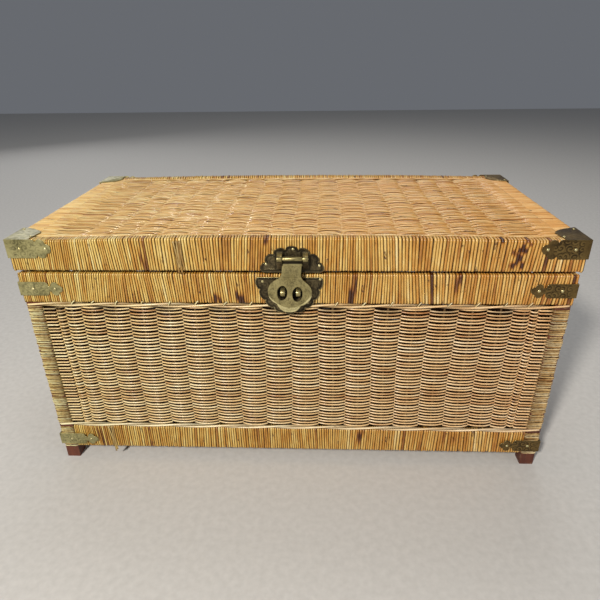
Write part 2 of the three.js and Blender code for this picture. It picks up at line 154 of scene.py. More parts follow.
# Camera and surroundings
CAMERA_PLACE = (0.0448, -0.9559, 0.7049)  # metres
CAMERA_YAW = 0.0444
CAMERA_PITCH = 0.4541
CAMERA_ROLL = 0.0139
CAMERA_LENS = 30.756
FLOOR_REACH = 6.0  # metres
LIGHTS = {  # place and target in metres, width in metres, power in watts, colour
    "key": ((-1.0, -2.35, 2.05), (0, -0.1, 0.25), 0.3, 104, (1.0, 0.95, 0.88)),
    "fill": ((2.2, -1.4, 1.3), (0, 0, 0.2), 1.4, 10, (0.95, 0.97, 1.0)),
    "sheen": ((-2.2, 3.0, 1.6), (0, 0, 0.4), 2.0, 14, (1.0, 1.0, 1.0)),
    "back": ((0.3, 2.0, 3.2), (0, 0, 0.3), 2.2, 44, (1.0, 0.98, 0.95)),
}


def generator(key):
    """A random generator with its own fixed seed."""
    return np.random.default_rng(1000 + key)


# Places from the frame


def box_mm(node):
    low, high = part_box(node)
    return np.array(low) / MM, np.array(high) / MM


FRONT_FACE = box_mm("top_rail_front")[0][1]
REAR_FACE = box_mm("top_rail_rear")[1][1]
MIDDLE = np.array([0.0, (FRONT_FACE + REAR_FACE) / 2, 0.0])
HASP_LOW, HASP_HIGH = box_mm("hasp")
PIN_UNDERSIDE = box_mm("hasp_pin")[0][2]


class Side:
    """One side of the trunk. u runs along it, n outwards from the trunk's upright middle line."""

    def __init__(self, name, along, outward):
        self.name = name
        self.along = np.array(along, float)
        self.outward = np.array(outward, float)

    def points(self, u, n, z):
        """Points from u, n and z, each a number or an array."""
        u, n, z = np.broadcast_arrays(*map(np.atleast_1d, (u, n, z)))
        flat = MIDDLE + u[:, None] * self.along + n[:, None] * self.outward
        flat[:, 2] = z
        return flat

    def span(self, node):
        """Lowest and highest (u, n, z) of a CAD node."""
        corners = np.array(box_mm(node)) - MIDDLE
        u = corners @ self.along
        n = corners @ self.outward
        low = np.array([u.min(), n.min(), corners[0, 2]])
        high = np.array([u.max(), n.max(), corners[1, 2]])
        return low, high


SIDES = (
    Side("front", (1, 0, 0), (0, -1, 0)),
    Side("rear", (-1, 0, 0), (0, 1, 0)),
    Side("left", (0, -1, 0), (-1, 0, 0)),
    Side("right", (0, 1, 0), (1, 0, 0)),
)
UP = np.array([0.0, 0.0, 1.0])
BACK = np.array([0.0, 1.0, 0.0])


# Materials


def colour(code):
    """A linear colour from a hexadecimal sRGB code."""
    parts = [int(code[i : i + 2], 16) / 255 for i in (0, 2, 4)]
    return (*[((c + 0.055) / 1.055) ** 2.4 if c > 0.04045 else c / 12.92 for c in parts], 1.0)


class Shader:
    """A material being wired up. Its methods add nodes and give back their outputs."""

    def __init__(self, name):
        self.material = bpy.data.materials.new(name)
        self.material.use_nodes = True
        self.tree = self.material.node_tree
        self.surface = self.tree.nodes["Principled BSDF"]

    def add(self, kind, sockets, **settings):
        node = self.tree.nodes.new("ShaderNode" + kind)
        for key, value in settings.items():
            setattr(node, key, value)
        for key, value in sockets.items():
            self.feed(node.inputs[key], value)
        return node

    def feed(self, socket, value):
        if isinstance(value, bpy.types.NodeSocket):
            self.tree.links.new(value, socket)
        else:
            socket.default_value = value

    def set(self, **sockets):
        for key, value in sockets.items():
            self.feed(self.surface.inputs[key.replace("_", " ")], value)

    def attribute(self, name, output):
        return self.add("Attribute", {}, attribute_name=name).outputs[output]

    def place(self):
        return self.add("TexCoord", {}).outputs["Object"]

    def scaled(self, vector, factors):
        return self.add("VectorMath", {0: vector, 1: factors}, operation="MULTIPLY").outputs[0]

    def math(self, operation, a, b=0.0):
        return self.add("Math", {0: a, 1: b}, operation=operation, use_clamp=False).outputs[0]

    def noise(self, vector, scale=1.0, detail=2.0, rough=0.5):
        sockets = {"Vector": vector, "Scale": scale, "Detail": detail, "Roughness": rough}
        return self.add("TexNoise", sockets).outputs["Fac"]

    def level(self, value, low, high, to_low=0.0, to_high=1.0):
        """value mapped from the range low..high to the other range, and kept inside it."""
        sockets = {0: value, 1: low, 2: high, 3: to_low, 4: to_high}
        return self.add("MapRange", sockets).outputs[0]

    def parts(self, vector):
        return self.add("SeparateXYZ", {"Vector": vector}).outputs

    def ramp(self, factor, stops):
        node = self.add("ValToRGB", {"Fac": factor})
        points = node.color_ramp.elements
        while len(points) < len(stops):
            points.new(1.0)
        for point, (position, shade) in zip(points, stops):
            point.position = position
            point.color = colour(shade)
        return node.outputs["Color"]

    def mix(self, factor, a, b, blend="MIX"):
        sockets = {0: factor, 6: a, 7: b}
        return self.add("Mix", sockets, data_type="RGBA", blend_type=blend).outputs[2]

    def bump(self, height, distance, strength=1.0, below=None):
        """A bump of that depth in metres."""
        sockets = {"Height": height, "Distance": distance, "Strength": strength}
        if below is not None:
            sockets["Normal"] = below
        return self.add("Bump", sockets).outputs["Normal"]


def reed(name, stops, shades, flanks, knots, roughness, coat=(0.32, 0.2)):
    """Rattan reed with grain along each strand, knots, a thin varnish, and painted shade where strands
    meet and where they lie deep.

    It reads two attributes of a bundle: strand and shade. shades are the colours of the painted shade
    on a strand's flanks and in the hollows, and flanks is the range over which a flank takes on its
    colour.
    """
    shader = Shader(name)
    strand = shader.attribute("strand", "Vector")
    tone, flank, recess = shader.parts(shader.attribute("shade", "Vector"))
    blotch = shader.noise(shader.scaled(strand, (26, 61, 0.6)), detail=3)
    grain = shader.noise(shader.scaled(strand, (70, 61, 9)), detail=4, rough=0.6)
    fine = shader.noise(shader.scaled(strand, (260, 61, 22)), detail=2)
    varied = shader.math("ADD", tone, shader.level(blotch, 0.25, 0.75, -0.2, 0.2))
    varied = shader.math("ADD", varied, shader.level(grain, 0.2, 0.8, -0.1, 0.1))
    base = shader.ramp(varied, stops)
    spots = shader.noise(shader.scaled(strand, (38, 83, 0.8)), detail=3, rough=0.6)
    mask = shader.level(spots, 1 - knots, 1.05 - knots)
    mask = shader.math("MULTIPLY", mask, shader.level(fine, 0.3, 0.55))
    base = shader.mix(mask, base, colour(KNOT))
    streaks = shader.level(grain, 0.3, 0.6, 0.74, 1.0)
    tint = shader.add("CombineXYZ", {0: streaks, 1: streaks, 2: streaks}).outputs[0]
    base = shader.mix(1.0, base, tint, "MULTIPLY")
    # Painted shade: flanks where strands meet darken in patches, and strands that lie deep in the weave
    # darken too.
    shade_patches = shader.noise(shader.scaled(strand, (55, 47, 0.5)), detail=3)
    patchy = shader.level(shade_patches, 0.3, 0.65, 0.55, 1.0)
    flank_shade = shader.math("MULTIPLY", shader.level(flank, *flanks), patchy)
    # A painted tint of the light: greener towards the trunk's left end, redder towards its right end.
    across = shader.level(shader.parts(shader.place())[0], -0.45, 0.45)
    light_tint = shader.ramp(across, [(0.0, LIGHT_TINT_LEFT), (1.0, LIGHT_TINT_RIGHT)])
    base = shader.mix(1.0, base, light_tint, "MULTIPLY")
    painted_shade = shader.math("MAXIMUM", flank_shade, recess)
    base = shader.mix(flank_shade, base, colour(shades[0]))
    base = shader.mix(recess, base, colour(shades[1]))
    height = shader.math("ADD", shader.math("MULTIPLY", grain, 0.7), shader.math("MULTIPLY", fine, 0.3))
    shader.set(Base_Color=base, Roughness=shader.level(grain, 0.25, 0.75, roughness, roughness + 0.16))
    # Less gloss where shade is painted.
    weight = shader.level(painted_shade, 0.0, 0.6, coat[0], 0.0)
    shader.set(Normal=shader.bump(height, 0.0003, 0.6), Coat_Weight=weight, Coat_Roughness=coat[1])
    shader.set(Specular_IOR_Level=shader.level(painted_shade, 0.0, 0.8, 0.5, 0.05))
    return shader.material


def timber(name, light, dark, worn, along):
    """Sawn wood with grain along one direction, and pale wear in patches."""
    shader = Shader(name)
    stretch = [14.0 if axis != along else 1.6 for axis in range(3)]
    place = shader.place()
    grain = shader.noise(shader.scaled(place, stretch), scale=5, detail=6, rough=0.65)
    rings = shader.noise(shader.scaled(place, stretch), scale=1.2, detail=2)
    fine = shader.noise(shader.scaled(place, [s * 12 for s in stretch]), scale=4, detail=3)
    figure = shader.math("MULTIPLY", grain, 0.65)
    figure = shader.math("ADD", figure, shader.math("MULTIPLY", rings, 0.35))
    base = shader.ramp(shader.level(figure, 0.36, 0.64), [(0.0, dark), (1.0, light)])
    patches = shader.noise(place, scale=90, detail=5, rough=0.7)
    base = shader.mix(shader.level(patches, 0.58, 0.7, 0.0, 0.75), base, colour(worn))
    shader.set(Base_Color=base, Roughness=shader.level(fine, 0.3, 0.7, 0.5, 0.72))
    shader.set(Normal=shader.bump(shader.math("ADD", grain, fine), 0.0003, 0.7))
    return shader.material


def brass(name, bright, dull, grime, roughness, metallic=0.75):
    """Thin pressed brass with a patchy patina, dents and pits, dark hollows and worn ridges, and
    painted shadow where the relief falls below -1.
    """
    shader = Shader(name)
    place = shader.place()
    relief = shader.attribute("relief", "Fac")
    patina = shader.noise(place, scale=38, detail=6, rough=0.62)
    cloud = shader.noise(place, scale=160, detail=4, rough=0.6)
    pits = shader.noise(place, scale=900, detail=3, rough=0.6)
    dents = shader.noise(place, scale=60, detail=1)
    base = shader.ramp(patina, [(0.32, dull), (0.68, bright)])
    base = shader.mix(shader.level(cloud, 0.48, 0.72, 0.0, 0.7), base, colour(grime))
    base = shader.mix(shader.level(relief, 0.1, 0.9, 0.0, 0.7), base, colour(bright))
    base = shader.mix(shader.level(relief, -0.9, -0.1, 0.75, 0.0), base, colour(grime))
    # Painted shadow where the relief falls below -1: behind the hasp and under its rolled eye.
    base = shader.mix(shader.level(relief, -2, -1.1, 0.85, 0.0), base, colour(PAINTED_SHADOW))
    rough = shader.level(cloud, 0.3, 0.7, roughness, roughness + 0.2)
    low = shader.bump(dents, 0.0012, 0.6)
    shader.set(Base_Color=base, Metallic=metallic, Roughness=rough)
    shader.set(Normal=shader.bump(pits, 0.00012, 0.6, low))
    return shader.material


LIGHT_TINT_LEFT = "f6fff8"  # a painted tint of the light, a little greener at the trunk's left end and redder at its right end
LIGHT_TINT_RIGHT = "fff5f4"
KNOT = "3f2010"
# Painted shadow behind the hasp and under its rolled eye.
PAINTED_SHADOW = "0c0805"
WRAP_STOPS = [(0.0, "f4e0a4"), (0.3, "deb866"), (0.55, "c48d3a"), (0.78, "8c561f"), (1.0, "42220e")]
WALL_STOPS = [(0.0, "f6e4bc"), (0.35, "e6c28a"), (0.7, "b27c46"), (1.0, "5f3a1c")]
POST_STOPS = [(0.0, "fff0bc"), (0.35, "eccb86"), (0.7, "b88a4a"), (1.0, "6a431d")]
LID_STOPS = [(0.0, "f6dc9e"), (0.35, "e2b166"), (0.7, "b67c36"), (1.0, "643a18")]

# After the stops come the colours of the painted shade on a strand's flanks and in its hollows.
REED_WRAP = reed("reed_wrap", WRAP_STOPS, ("482407", "3a2008"), (0.42, 0.94), 0.34, 0.3)
REED_WALL = reed("reed_wall", WALL_STOPS, ("6e3e1c", "180a04"), (0.56, 0.95), 0.3, 0.3)
REED_POST = reed("reed_post", POST_STOPS, ("2e1a09", "3a220d"), (0.14, 0.72), 0.34, 0.34)
REED_LID = reed("reed_lid", LID_STOPS, ("5a3511", "2e1808"), (0.66, 1.1), 0.34, 0.24, (0.9, 0.12))
REED_STAKE = reed("reed_stake", WALL_STOPS, ("6e3e1c", "1d1007"), (0.6, 1.0), 0.25, 0.5)
FOOT_WOOD = timber("stained_foot", "68341e", "40190d", "8a6448", 2)
# Dark, as painted shade in the gaps between the wraps.
SHADED_CORE_WOOD = timber("rail_core", "3c2614", "241408", "4a3420", 0)
BOARD_WOOD = timber("floor_board", "b08c58", "7f5c36", "c4a676", 0)
BAR_WOOD = timber("cross_bar", "a88452", "765332", "bd9d6c", 1)
BRASS = brass("aged_brass", "b0a876", "7a744a", "35331c", 0.28, 0.6)
BRASS_HASP = brass("hasp_brass", "a89c6c", "7d7248", "3a331f", 0.3)
# A darker copy of the brass, painted as shade on the right-hand corners.
BRASS_SHADED = brass("darkened_brass", "80693c", "4f3d20", "1c140a", 0.32)
BRASS_PLATE = brass("plate_brass", "6a5e42", "383020", "15110a", 0.34)
BRASS_BRIGHT = brass("worn_brass", "e2d6a4", "c4b880", "8a7e50", 0.22)


# Strands: tubes along paths, many to a mesh


class Bundle:
    """Strands gathered into one mesh.

    Each point holds strand: (metres along, the strand's own number, share of the way round), and
    shade: (tone, how near a flank with painted shade, how much painted shade it takes for lying far
    back).
    Both flanks of packed strands take painted shade, and on the others the one away from the direction
    across.
    """

    def __init__(self, name, sides=8, packed=False):
        self.name = name
        self.sides = sides
        self.packed = packed
        self.points = []
        self.quads = []
        self.caps = []
        self.strand = []
        self.shade = []
        self.count = 0
        self.strands = 0

    def add(self, path, wide, thick, across, tone, closed=False, recess=0.0):
        """A strand along path. Its half width lies as near to the direction across as it can.

        recess is the painted shade for how far back it lies seen from its face, or two such: from its
        face and its back.
        """
        path = np.asarray(path, float)
        if closed:
            tangent = np.roll(path, -1, 0) - np.roll(path, 1, 0)
        else:
            tangent = np.gradient(path, axis=0)
        tangent /= np.linalg.norm(tangent, axis=1)[:, None]
        side = across - (tangent @ across)[:, None] * tangent
        side /= np.linalg.norm(side, axis=1)[:, None]
        out = np.cross(tangent, side)
        angle = 2 * np.pi * np.arange(self.sides) / self.sides
        wide = np.broadcast_to(wide, len(path))[:, None, None]
        thick = np.broadcast_to(thick, len(path))[:, None, None]
        ring = wide * np.cos(angle)[None, :, None] * side[:, None]
        ring = ring + thick * np.sin(angle)[None, :, None] * out[:, None]
        self.points.append((path[:, None] + ring).reshape(-1, 3))
        self.number(path, tone, recess)
        self.wire(len(path), closed)

    def number(self, path, tone, recess):
        steps = np.linalg.norm(np.diff(path, axis=0), axis=1)
        along = np.repeat(np.concatenate([[0], np.cumsum(steps)]) * MM, self.sides)
        around = np.tile(np.arange(self.sides) / self.sides, len(path))
        own = np.full(along.size, (self.strands * 0.37) % 17)
        self.strand.append(np.stack([along, own, around], 1))
        face, back = recess if isinstance(recess, tuple) else (recess, recess)
        values = [np.broadcast_to(value, len(path)) for value in (tone, face, back)]
        tone, face, back = [np.repeat(value, self.sides) for value in values]
        turn = 2 * np.pi * around
        # Painted shade for lying far back, taken from the face's or the back's value by which way this
        # side looks.
        recess = np.where(np.sin(turn) > -0.3, face, back)
        # Painted shade on the flank away from the direction across, or on both flanks of packed
        # strands.
        flank = np.abs(np.cos(turn)) if self.packed else 0.5 - 0.5 * np.cos(turn)
        self.shade.append(np.stack([tone, flank, recess], 1))
        self.strands += 1

    def wire(self, length, closed):
        rows = length if closed else length - 1
        i, j = np.meshgrid(np.arange(rows), np.arange(self.sides), indexing="ij")
        k = (j + 1) % self.sides
        after = (i + 1) % length
        here = i * self.sides
        there = after * self.sides
        corners = [here + j, here + k, there + k, there + j]
        self.quads.append(self.count + np.stack([c.ravel() for c in corners], 1))
        if not closed:
            ring = np.arange(self.sides)
            self.caps.append(self.count + ring[::-1])
            self.caps.append(self.count + (length - 1) * self.sides + ring)
        self.count += length * self.sides

    def finish(self, material, body, slot):
        mesh = bpy.data.meshes.new(self.name)
        quads = np.concatenate(self.quads)
        caps = np.concatenate(self.caps) if self.caps else np.zeros(0, int)
        corners = np.concatenate([quads.ravel(), caps])
        sizes = np.concatenate([np.full(len(quads), 4), np.full(len(self.caps), self.sides)])
        starts = np.concatenate([[0], np.cumsum(sizes)[:-1]])
        mesh.vertices.add(self.count)
        mesh.vertices.foreach_set("co", (np.concatenate(self.points) * MM).astype(np.float32).ravel())
        mesh.loops.add(len(corners))
        mesh.loops.foreach_set("vertex_index", corners.astype(np.int32))
        mesh.polygons.add(len(sizes))
        mesh.polygons.foreach_set("loop_start", starts.astype(np.int32))
        smooth = np.arange(len(sizes)) < len(quads)
        mesh.polygons.foreach_set("use_smooth", smooth)
        mesh.update(calc_edges=True)
        for name, values in (("strand", self.strand), ("shade", self.shade)):
            attribute = mesh.attributes.new(name, "FLOAT_VECTOR", "POINT")
            attribute.data.foreach_set("vector", np.concatenate(values).astype(np.float32).ravel())
        return place(mesh, material, body, slot)


def add_object(name, data):
    added = bpy.data.objects.new(name, data)
    bpy.context.scene.collection.objects.link(added)
    return added


def place(mesh, material, body, slot):
    """A mesh as a piece of the trunk."""
    piece = add_object(mesh.name, mesh)
    mesh.materials.append(material)
    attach(piece, body)
    return piece


def smooth_step(value, low, high):
    share = np.clip((value - low) / (high - low), 0, 1)
    return share * share * (3 - 2 * share)


def drift(rng, count, reach, memory=0.8):
    """Numbers that wander about 0 from one to the next, with about the given spread."""
    steps = rng.normal(0, 1, count)
    values = np.zeros(count)
    for i in range(1, count):
        values[i] = memory * values[i - 1] + math.sqrt(1 - memory**2) * steps[i]
    return reach * values


def strand_tones(rng, count, mean, spread, dark_share=0.02):
    tones = mean + drift(rng, count, spread * 0.6) + rng.normal(0, spread, count)
    dark = rng.random(count) < dark_share
    tones[dark] += rng.uniform(0.2, 0.45, dark.sum())
    return np.clip(tones, 0.02, 0.95)


def crown(u):
    """How far the lid's middle stands up in a gentle arch along its length, as a share of the most."""
    return np.clip(1 - (np.abs(u) / CROWN_HALF) ** 2.4, 0, 1)


# Wrapped rails


def rounded_loop(low, high, radius, steps=3, outside=4):
    """Points round a rectangle with rounded corners, from the bottom outside corner up the outside.

    low and high are (n, z), and the second column of the result is z.
    """
    points = []
    quarter = np.linspace(0, math.pi / 2, steps + 1)
    corners = (
        (high[0] - radius, low[1] + radius, -math.pi / 2),
        (high[0] - radius, high[1] - radius, 0.0),
        (low[0] + radius, high[1] - radius, math.pi / 2),
        (low[0] + radius, low[1] + radius, math.pi),
    )
    for n, z, start in corners:
        for turn in quarter:
            points.append((n + radius * math.cos(start + turn), z + radius * math.sin(start + turn)))
    levels = np.linspace(low[1] + radius, high[1] - radius, outside + 2)[1:-1]
    split = steps + 1
    return np.array(points[:split] + [(high[0], z) for z in levels] + points[split:])


def wrap_places(rng, low, high, pitch):
    """Places of wraps along a rail, packed tighter in some stretches and towards its low end."""
    places = [low + pitch / 2]
    while places[-1] < high - 1.5 * pitch:
        local = pitch * (1 + 0.08 * math.sin(places[-1] / 67 + pitch) + 0.09 * places[-1] / 310)
        places.append(places[-1] + local * rng.uniform(0.84, 1.17))
    places = np.array(places)
    return places + (low + high) / 2 - (places[0] + places[-1]) / 2


def wrap_rail(side, node, piece, seed, mean, lean, pitch):
    """Reed wound round a rail, strand beside strand, leaning a little one way and then the other."""
    rng = generator(seed)
    low, high = side.span(node)
    places = wrap_places(rng, low[0], high[0], pitch)
    count = len(places)
    edge = np.clip(np.minimum(places - low[0], high[0] - places) / 40, 0, 1)
    leans = edge * lean * (np.sin(places / 61 + seed) + 0.6 * np.sin(places / 23 + 2 * seed))
    leans += edge * rng.normal(0, 0.25, count)
    tones = strand_tones(rng, count, mean, 0.08)
    proud = rng.normal(0, 0.16, count)
    gaps = np.gradient(places)
    stains = STAINS.get(node, ())
    levels = 16 if stains else 4
    bundle = Bundle(piece, packed=True)
    for u, slant, tone, rise, gap in zip(places, leans, tones, proud, gaps):
        loop = wrap_section(node, low, high, u, rise, levels)
        share = (loop[:, 1] - (low[2] + high[2]) / 2) / (high[2] - low[2])
        path = side.points(u + slant * share, loop[:, 0], loop[:, 1])
        if node.startswith("lid"):
            path[:, 2] += RAIL_CROWN * crown(u) * (share + 0.5)
        shade = tone + stain(rng, stains, u, share)
        bundle.add(path, 0.49 * gap, WRAP_THICK, side.along, shade, closed=True)
    made = bundle.finish(REED_WRAP, frame["nodes"][node]["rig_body"], "wrapped_reed")
    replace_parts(made, node)
    rail_core(node, side)


def wrap_section(node, low, high, u, rise, levels):
    """A wrap's (n, z) points round a rail at u. The lid's rails and the top rails meet in mitres."""
    inner = low[1]
    if "bottom" not in node:
        inner = max(inner, high[1] - (high[0] - abs(u)) - 1)
    inner = min(inner, high[1] - 3 * WRAP_THICK)
    inset = WRAP_THICK - rise
    foot = low[2] + inset + SEAM * node.startswith("lid")
    head = high[2] - inset - 0.4 * SEAM * node.startswith("top")
    return rounded_loop((inner + inset, foot), (high[1] - inset, head), WRAP_BEND, outside=levels)


def stain(rng, stains, u, share):
    """How much darker the wrap at u is, at points given by their share of the rail's height."""
    darker = np.zeros(len(share))
    for centre, reach, level, height in stains:
        if abs(u - centre) < reach:
            middle = rng.normal(level, 0.1)
            darker += rng.uniform(0.3, 0.9) * np.exp(-(((share - middle) / height) ** 2))
    return darker


def loose_wraps(name, node, body, layout, seed):
    """A few wraps that have worked loose on a front rail and stand off it, with their ends free."""
    rng = generator(seed)
    side = SIDES[0]
    u, lengths = layout
    low, high = side.span(node)
    bundle = Bundle(name)
    for k, (above, below) in enumerate(lengths):
        share = np.linspace(0, 1, 16)
        z = high[2] + above - share * (high[2] - low[2] + above + below)
        off = 0.9 + 1.2 * np.sin(np.pi * share) ** 2 * rng.uniform(0.4, 1) + 0.5 * (z > high[2])
        if above > 0:
            off = off - 5.5 * smooth_step(z, high[2] - 1, high[2] + above)
        bent = u + 3.6 * k + 1.6 * np.sin(3 * share + k) + 4 * share
        bundle.add(side.points(bent, high[1] + off, z), 1.6, 0.8, side.along, rng.uniform(0.45, 0.75))
    bundle.finish(REED_POST, body, "wrapped_reed")


def rail_core(node, side):
    """The wooden rail inside the wraps: the CAD rail made thinner, in dark wood that paints the shade
    seen between the wraps.
    """
    mesh = frame["nodes"][node].data.copy()
    mesh.name = "core_" + node
    mesh.materials.clear()
    low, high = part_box(node)
    middle = (low + high) / 2
    along = Vector(side.along)
    for vertex in mesh.vertices:
        for axis in range(3):
            if abs(along[axis]) < 0.5:
                half = (high[axis] - low[axis]) / 2
                factor = (half - 1.9 * MM) / half
                vertex.co[axis] = middle[axis] + (vertex.co[axis] - middle[axis]) * factor
    place(mesh, SHADED_CORE_WOOD, frame["nodes"][node]["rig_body"], "wrapped_reed")


# Woven walls


def row_profile(stations, parity):
    """A function that gives a weaver's share of its in-and-out reach at each u.

    stations are pairs of a place along the wall and +1 or -1, in front of or behind the stake there.
    """
    places = np.array([s[0] for s in stations], float)
    signs = np.array([s[1] for s in stations], float) * parity

    def profile(u):
        i = np.clip(np.searchsorted(places, u, side="right") - 1, 0, len(places) - 2)
        share = np.clip((u - places[i]) / (places[i + 1] - places[i]), 0, 1)
        share = np.clip(0.5 + CROSSING * (share - 0.5), 0, 1)
        blend = (1 - np.cos(np.pi * share)) / 2
        return signs[i] + (signs[i + 1] - signs[i]) * blend

    return profile


def sample_places(stations, per_span=8):
    """Places along a wall: a few between each pair of stations."""
    places = [s[0] for s in stations]
    points = []
    for start, end in zip(places, places[1:]):
        points += list(np.linspace(start, end, per_span + 1)[:-1])
    return np.array(points + [places[-1]])


def set_back(forward):
    """How deep in the weave a strand lies, 0 to 1, from its share of the reach towards the viewer."""
    return np.clip((0.15 - forward) / 0.75, 0, 1)


def wale_shade(u, rows_below, seed):
    """How much painted shadow the hollows under the upper wale put on a weaver that many rows below the
    topmost.
    """
    depth = 0.85 ** (1 + 3 * rows_below)
    return depth * np.clip(1.4 * np.sin(4 * np.pi * u / WALE_TURN + seed), 0, 1)


def wall_stations(half, rib, gaps):
    """From one post to the other: the wall's end, its rib, a stake, then a stake after each gap."""
    stakes = RIB_GAP - rib + np.concatenate([[0], np.cumsum(gaps)])
    stations = [(-half, 1), (-rib - 8, 0.9), (-rib, -1)]
    sign = 1
    for stake in stakes:
        stations.append((stake, sign))
        sign = -sign
    stations += [(rib, sign), (rib + 8, -sign * 0.9), (half, -sign)]
    return stations, stakes


def weave_wall(side, seed, gaps):
    """Rows of weavers that pass in front of and behind the stakes, with strands between to close it,
    painted as shade.
    """
    rng = generator(seed)
    node = "woven_wall_" + side.name
    low, high = side.span(node)
    centre = (low[1] + high[1]) / 2
    reach = (high[1] - low[1]) / 2 - WEAVER
    bottom = low[2] + WALE_HEIGHT + WEAVER
    top = high[2] - WALE_HEIGHT - WALE_GAP - WEAVER
    rows = int((top - bottom) / ROW_PITCH) + 1
    rib = high[0] - RIB_INSET
    stations, stakes = wall_stations(high[0] - 1, rib, gaps)
    u = sample_places(stations)
    tones = strand_tones(rng, rows, 0.36, 0.06, 0.02)
    lower = Bundle(f"weave_{side.name}_lower")
    upper = Bundle(f"weave_{side.name}_upper")
    shade_strands = Bundle("filling_" + side.name, sides=6)
    for row, tone in enumerate(tones):
        z = bottom + row * (top - bottom) / (rows - 1)
        sway = 1.5 * np.sin(z / 47 + 0.013 * u + seed)
        profile = row_profile(stations, 1 if row % 2 else -1)
        forward = profile(u - sway)
        n = centre + reach * forward
        lift = 0.35 * np.sin(u / 37 + row * 1.7) + 0.8 * np.sin(u / 160 + z / 60 + seed)
        path = side.points(u, n, z + lift)
        radius = WEAVER * rng.uniform(0.93, 1.07)
        tone_here = tone + 0.06 * np.sin(u / 90 + row)
        part = lower if row < rows / 2 else upper
        # Painted shade where a weaver lies deep, and painted shadow under the upper wale on the top
        # rows.
        face = np.maximum(set_back(forward), wale_shade(u, rows - 1 - row, seed))
        part.add(path, radius, radius, UP, tone_here, recess=(face, set_back(-forward)))
        # Dark strands deep in the weave, painted wholly as shade, stand for the dark inside seen
        # through the gaps.
        shade_strands.add(side.points(u, centre, z + lift)[::3], SHADE_STRAND, SHADE_STRAND, UP, tone, recess=1.0)
    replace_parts(lower.finish(REED_WALL, BODY, "woven_reed"), node)
    upper.finish(REED_WALL, BODY, "woven_reed")
    shade_strands.finish(REED_WALL, BODY, "woven_reed")
    wall_stakes(side, seed, stakes, rib, centre, (low[2], high[2]))


def wall_stakes(side, seed, stakes, rib, centre, levels):
    """Upright stakes, with their cut ends bent out over the lower edge of the top rail."""
    rng = generator(seed + 50)
    bundle = Bundle("stakes_" + side.name)
    z = np.linspace(levels[0] - 6, levels[1] + 3, 12)
    for u in [-rib, *stakes, rib]:
        lean = 1.5 * np.sin(z / 47 + 0.013 * u + seed)
        path = side.points(u + lean, centre, z)
        # The stakes lie deep in the weave and are painted mostly as shade.
        bundle.add(path, STAKE, STAKE, side.along, rng.uniform(0.2, 0.45), recess=0.85)
    ends = Bundle("stake_ends_" + side.name, packed=True)
    face = side.span("top_rail_" + side.name)[1][1]
    for u in stakes:
        start = u + rng.uniform(1, 4)
        lean = rng.uniform(4, 8)
        share = np.linspace(0, 1, 6)
        n = face - 2.2 + 2.6 * np.sin(share * 2.2)
        height = levels[1] - 3 + share * rng.uniform(7, 9)
        radius = STAKE_END * (1 - 0.3 * share)
        ends.add(side.points(start + lean * share**1.5, n, height), radius, radius, side.along, 0.1)
    bundle.finish(REED_STAKE, BODY, "woven_reed")
    ends.finish(REED_POST, BODY, "woven_reed")


def wrap_post(corner, seed):
    """Weavers wound round a corner post, which close each wall's edge."""
    rng = generator(seed)
    low, high = box_mm("post_" + corner)
    wall_low, wall_high = box_mm("woven_wall_front")
    bundle = Bundle("post_wraps_" + corner, packed=True)
    z = box_mm("bottom_rail_front")[0][2] + POST_WRAP + 0.3
    while z < wall_high[2] - WALE_HEIGHT:
        half = POST_WRAP * rng.uniform(0.8, 1.3)
        in_wale = wall_low[2] - 1 < z + half and z - half < wall_low[2] + WALE_HEIGHT - 1
        if not in_wale:
            post_loop(bundle, low, high, z, half, rng)
        z += 2 * half * 0.97
    bundle.finish(REED_POST, BODY, "woven_reed")


def post_loop(bundle, low, high, z, half, rng):
    out = 0.35 + rng.normal(0, 0.4)
    loop = rounded_loop((low[0] - out, low[1] - out), (high[0] + out, high[1] + out), 3.2, 2)
    tilt = rng.normal(0, 0.3, 2)
    middle = (low + high) / 2
    rise = tilt[0] * (loop[:, 0] - middle[0]) / 12 + tilt[1] * (loop[:, 1] - middle[1]) / 12
    path = np.column_stack([loop, z + rise])
    tone = np.clip(rng.normal(0.3, 0.17), 0.02, 0.95)
    # Painted shade on the part of each loop that turns in towards the wall.
    inward = np.min(np.abs(loop - MIDDLE[:2]) - np.abs(middle[:2] - MIDDLE[:2]), axis=1)
    shaded = 0.75 * smooth_step(-inward, 4, 11)
    bundle.add(path, half * 0.98, 1.5, UP, tone, closed=True, recess=shaded * rng.uniform(0.6, 1))


# Ropes of twisted strands


def ring_path(half_x, half_y, radius, spacing):
    """A closed path round the trunk and its outward directions, at even spacing, with length along."""
    arc = radius * math.pi / 2
    sides = [2 * (half_x - radius), 2 * (half_y - radius)] * 2
    total = sum(sides) + 4 * arc
    count = int(total / spacing)
    s = np.arange(count) * total / count
    points = np.zeros((count, 3))
    outward = np.zeros((count, 3))
    at = np.array([-(half_x - radius), -half_y, 0.0])
    heading = 0.0
    start = 0.0
    for length in sides:
        ahead = np.array([math.cos(heading), math.sin(heading), 0])
        right = np.array([math.sin(heading), -math.cos(heading), 0])
        on = (s >= start) & (s < start + length)
        points[on] = at + (s[on] - start)[:, None] * ahead
        outward[on] = right
        at = at + length * ahead
        start += length
        pivot = at - radius * right
        on = (s >= start) & (s < start + arc)
        turn = heading - math.pi / 2 + (s[on] - start) / radius
        direction = np.column_stack([np.cos(turn), np.sin(turn), np.zeros(on.sum())])
        points[on] = pivot + radius * direction
        outward[on] = direction
        heading += math.pi / 2
        at = pivot + radius * np.array([math.sin(heading), -math.cos(heading), 0])
        start += arc
    return points + MIDDLE, outward, s, total


